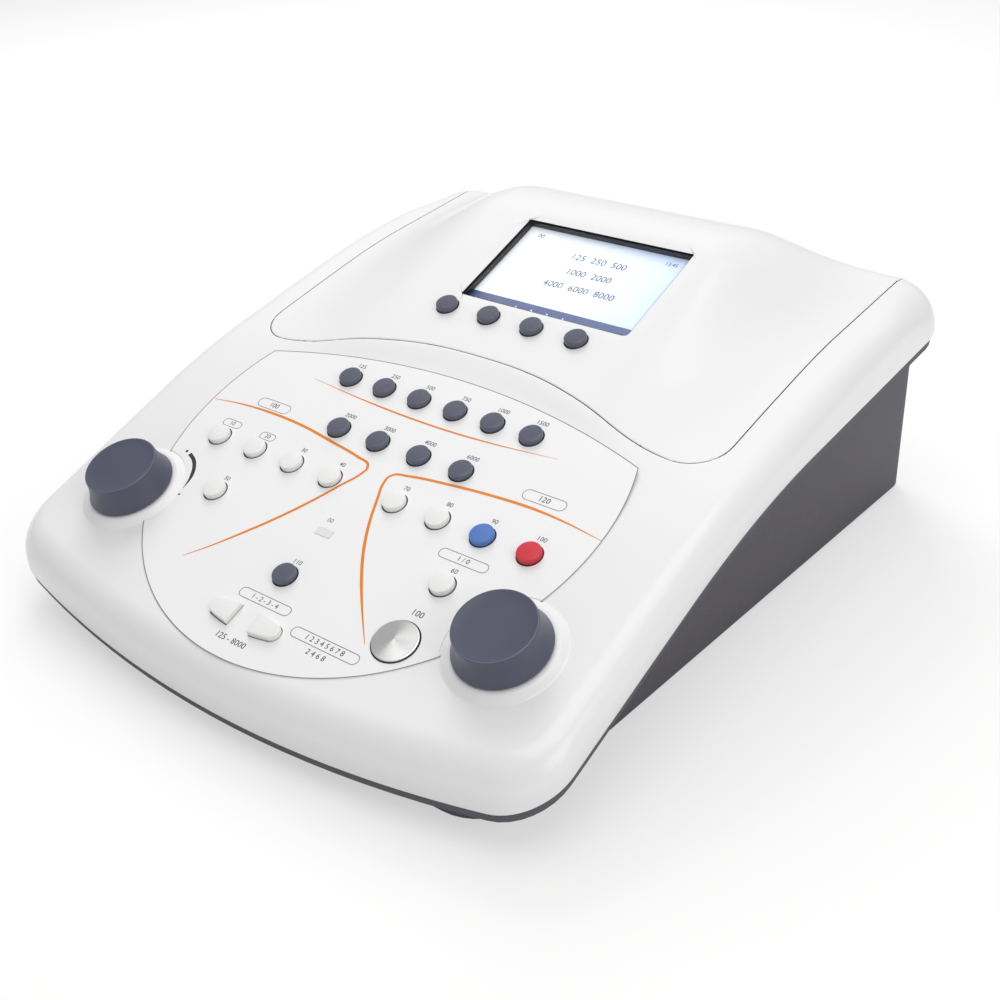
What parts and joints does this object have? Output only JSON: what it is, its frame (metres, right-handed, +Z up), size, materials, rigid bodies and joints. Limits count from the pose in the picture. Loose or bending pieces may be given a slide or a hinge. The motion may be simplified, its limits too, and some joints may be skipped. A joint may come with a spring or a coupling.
{
  "type": "audiometer",
  "caption": "Wedge-shaped desktop console for hearing tests: white cover on a dark base, sloping keypad with two rotary knobs, small colour display behind it.",
  "frame": {"origin": "centre of the footprint box, on the surface that the rubber feet stand on", "axes": "+X to the user's right as the user faces the keypad, +Y from the user towards the back, +Z up; as shown in the picture"},
  "size_m": [0.33, 0.383, 0.1457],
  "materials": {
    "cover_white": "satin gloss moulded plastic",
    "overlay_foil": "printed foil",
    "base_grey": "fine spark texture",
    "seal_black": "matt",
    "window": "clear polished",
    "bezel_black": "matt",
    "lcd": "lit display face",
    "board": "solder resist",
    "silicone": "translucent silicone, matt",
    "speaker": "matt",
    "panel_grey": "fine texture paint",
    "socket_black": "matt",
    "metal": "brushed",
    "lens": "frosted",
    "cable": "flat ribbon",
    "screw_steel": "plated",
    "rubber": "matt",
    "encoder": "moulded",
    "knob_slate": "satin soft-touch",
    "key_slate": "satin",
    "key_white": "satin gloss",
    "key_blue": "satin gloss",
    "key_red": "satin gloss",
    "key_metal": "radially brushed cone"
  },
  "bodies": {
    "console": {"top_cover": "cover_white", "display_cover": "cover_white", "keypad_overlay": "overlay_foil", "base_housing": "base_grey", "edge_seal": "seal_black", "display_window": "window", "display_bezel": "bezel_black", "lcd_module": "lcd", "display_key_board": "board", "display_key_mat": "silicone", "key_mat": "silicone", "keypad_board": "board", "main_board": "board", "monitor_speaker": "speaker", "rear_panel": "panel_grey", "jack_sockets": "socket_black", "usb_socket": "metal", "power_inlet": "socket_black", "indicator_lens": "lens", "keypad_cable": "cable", "display_cable": "cable", "cover_screws": "screw_steel", "board_screws": "screw_steel", "keypad_screws": "screw_steel", "rubber_feet": "rubber", "encoder_left": "encoder", "encoder_right": "encoder"},
    "key_display_1": {"key_display_1": "key_slate"},
    "key_display_2": {"key_display_2": "key_slate"},
    "key_display_3": {"key_display_3": "key_slate"},
    "key_display_4": {"key_display_4": "key_slate"},
    "key_top_1": {"key_top_1": "key_slate"},
    "key_top_2": {"key_top_2": "key_slate"},
    "key_top_3": {"key_top_3": "key_slate"},
    "key_top_4": {"key_top_4": "key_slate"},
    "key_top_5": {"key_top_5": "key_slate"},
    "key_top_6": {"key_top_6": "key_slate"},
    "key_middle_1": {"key_middle_1": "key_slate"},
    "key_middle_2": {"key_middle_2": "key_slate"},
    "key_middle_3": {"key_middle_3": "key_slate"},
    "key_middle_4": {"key_middle_4": "key_slate"},
    "key_left_1": {"key_left_1": "key_white"},
    "key_left_2": {"key_left_2": "key_white"},
    "key_left_3": {"key_left_3": "key_white"},
    "key_left_4": {"key_left_4": "key_white"},
    "key_left_5": {"key_left_5": "key_white"},
    "key_right_1": {"key_right_1": "key_white"},
    "key_right_2": {"key_right_2": "key_white"},
    "key_blue": {"key_blue": "key_blue"},
    "key_red": {"key_red": "key_red"},
    "key_right_5": {"key_right_5": "key_white"},
    "key_centre": {"key_centre": "key_slate"},
    "key_present": {"key_present": "key_metal"},
    "key_minus": {"key_minus": "key_white"},
    "key_plus": {"key_plus": "key_white"},
    "dial_left": {"shaft_left": "metal", "knob_left": "knob_slate"},
    "dial_right": {"shaft_right": "metal", "knob_right": "knob_slate"}
  },
  "joints": [
    {"name": "key_display_1_press", "type": "slide", "parent": "console", "child": "key_display_1", "axis": [0, 0.342, -0.9397], "range_m": [0, 0.0008], "stiffness_N_per_m": 800, "springref_m": -0.0002},
    {"name": "key_display_2_press", "type": "slide", "parent": "console", "child": "key_display_2", "axis": [0, 0.342, -0.9397], "range_m": [0, 0.0008], "stiffness_N_per_m": 800, "springref_m": -0.0002},
    {"name": "key_display_3_press", "type": "slide", "parent": "console", "child": "key_display_3", "axis": [0, 0.342, -0.9397], "range_m": [0, 0.0008], "stiffness_N_per_m": 800, "springref_m": -0.0002},
    {"name": "key_display_4_press", "type": "slide", "parent": "console", "child": "key_display_4", "axis": [0, 0.342, -0.9397], "range_m": [0, 0.0008], "stiffness_N_per_m": 800, "springref_m": -0.0002},
    {"name": "key_top_1_press", "type": "slide", "parent": "console", "child": "key_top_1", "axis": [0, 0.342, -0.9397], "range_m": [0, 0.0008], "stiffness_N_per_m": 800, "springref_m": -0.0002},
    {"name": "key_top_2_press", "type": "slide", "parent": "console", "child": "key_top_2", "axis": [0, 0.342, -0.9397], "range_m": [0, 0.0008], "stiffness_N_per_m": 800, "springref_m": -0.0002},
    {"name": "key_top_3_press", "type": "slide", "parent": "console", "child": "key_top_3", "axis": [0, 0.342, -0.9397], "range_m": [0, 0.0008], "stiffness_N_per_m": 800, "springref_m": -0.0002},
    {"name": "key_top_4_press", "type": "slide", "parent": "console", "child": "key_top_4", "axis": [0, 0.342, -0.9397], "range_m": [0, 0.0008], "stiffness_N_per_m": 800, "springref_m": -0.0002},
    {"name": "key_top_5_press", "type": "slide", "parent": "console", "child": "key_top_5", "axis": [0, 0.342, -0.9397], "range_m": [0, 0.0008], "stiffness_N_per_m": 800, "springref_m": -0.0002},
    {"name": "key_top_6_press", "type": "slide", "parent": "console", "child": "key_top_6", "axis": [0, 0.342, -0.9397], "range_m": [0, 0.0008], "stiffness_N_per_m": 800, "springref_m": -0.0002},
    {"name": "key_middle_1_press", "type": "slide", "parent": "console", "child": "key_middle_1", "axis": [0, 0.342, -0.9397], "range_m": [0, 0.0008], "stiffness_N_per_m": 800, "springref_m": -0.0002},
    {"name": "key_middle_2_press", "type": "slide", "parent": "console", "child": "key_middle_2", "axis": [0, 0.342, -0.9397], "range_m": [0, 0.0008], "stiffness_N_per_m": 800, "springref_m": -0.0002},
    {"name": "key_middle_3_press", "type": "slide", "parent": "console", "child": "key_middle_3", "axis": [0, 0.342, -0.9397], "range_m": [0, 0.0008], "stiffness_N_per_m": 800, "springref_m": -0.0002},
    {"name": "key_middle_4_press", "type": "slide", "parent": "console", "child": "key_middle_4", "axis": [0, 0.342, -0.9397], "range_m": [0, 0.0008], "stiffness_N_per_m": 800, "springref_m": -0.0002},
    {"name": "key_left_1_press", "type": "slide", "parent": "console", "child": "key_left_1", "axis": [0, 0.342, -0.9397], "range_m": [0, 0.0008], "stiffness_N_per_m": 800, "springref_m": -0.0002},
    {"name": "key_left_2_press", "type": "slide", "parent": "console", "child": "key_left_2", "axis": [0, 0.342, -0.9397], "range_m": [0, 0.0008], "stiffness_N_per_m": 800, "springref_m": -0.0002},
    {"name": "key_left_3_press", "type": "slide", "parent": "console", "child": "key_left_3", "axis": [0, 0.342, -0.9397], "range_m": [0, 0.0008], "stiffness_N_per_m": 800, "springref_m": -0.0002},
    {"name": "key_left_4_press", "type": "slide", "parent": "console", "child": "key_left_4", "axis": [0, 0.342, -0.9397], "range_m": [0, 0.0008], "stiffness_N_per_m": 800, "springref_m": -0.0002},
    {"name": "key_left_5_press", "type": "slide", "parent": "console", "child": "key_left_5", "axis": [0, 0.342, -0.9397], "range_m": [0, 0.0008], "stiffness_N_per_m": 800, "springref_m": -0.0002},
    {"name": "key_right_1_press", "type": "slide", "parent": "console", "child": "key_right_1", "axis": [0, 0.342, -0.9397], "range_m": [0, 0.0008], "stiffness_N_per_m": 800, "springref_m": -0.0002},
    {"name": "key_right_2_press", "type": "slide", "parent": "console", "child": "key_right_2", "axis": [0, 0.342, -0.9397], "range_m": [0, 0.0008], "stiffness_N_per_m": 800, "springref_m": -0.0002},
    {"name": "key_blue_press", "type": "slide", "parent": "console", "child": "key_blue", "axis": [0, 0.342, -0.9397], "range_m": [0, 0.0008], "stiffness_N_per_m": 800, "springref_m": -0.0002},
    {"name": "key_red_press", "type": "slide", "parent": "console", "child": "key_red", "axis": [0, 0.342, -0.9397], "range_m": [0, 0.0008], "stiffness_N_per_m": 800, "springref_m": -0.0002},
    {"name": "key_right_5_press", "type": "slide", "parent": "console", "child": "key_right_5", "axis": [0, 0.342, -0.9397], "range_m": [0, 0.0008], "stiffness_N_per_m": 800, "springref_m": -0.0002},
    {"name": "key_centre_press", "type": "slide", "parent": "console", "child": "key_centre", "axis": [0, 0.342, -0.9397], "range_m": [0, 0.0008], "stiffness_N_per_m": 800, "springref_m": -0.0002},
    {"name": "key_present_press", "type": "slide", "parent": "console", "child": "key_present", "axis": [0, 0.342, -0.9397], "range_m": [0, 0.0008], "stiffness_N_per_m": 800, "springref_m": -0.0002},
    {"name": "key_minus_press", "type": "slide", "parent": "console", "child": "key_minus", "axis": [0, 0.342, -0.9397], "range_m": [0, 0.0008], "stiffness_N_per_m": 800, "springref_m": -0.0002},
    {"name": "key_plus_press", "type": "slide", "parent": "console", "child": "key_plus", "axis": [0, 0.342, -0.9397], "range_m": [0, 0.0008], "stiffness_N_per_m": 800, "springref_m": -0.0002},
    {"name": "dial_left_turn", "type": "hinge", "parent": "console", "child": "dial_left", "pos_m": [-0.116, -0.1286, 0.0558], "axis": [0, -0.342, 0.9397], "continuous": true},
    {"name": "dial_right_turn", "type": "hinge", "parent": "console", "child": "dial_right", "pos_m": [0.116, -0.1286, 0.0558], "axis": [0, -0.342, 0.9397], "continuous": true}
  ]
}
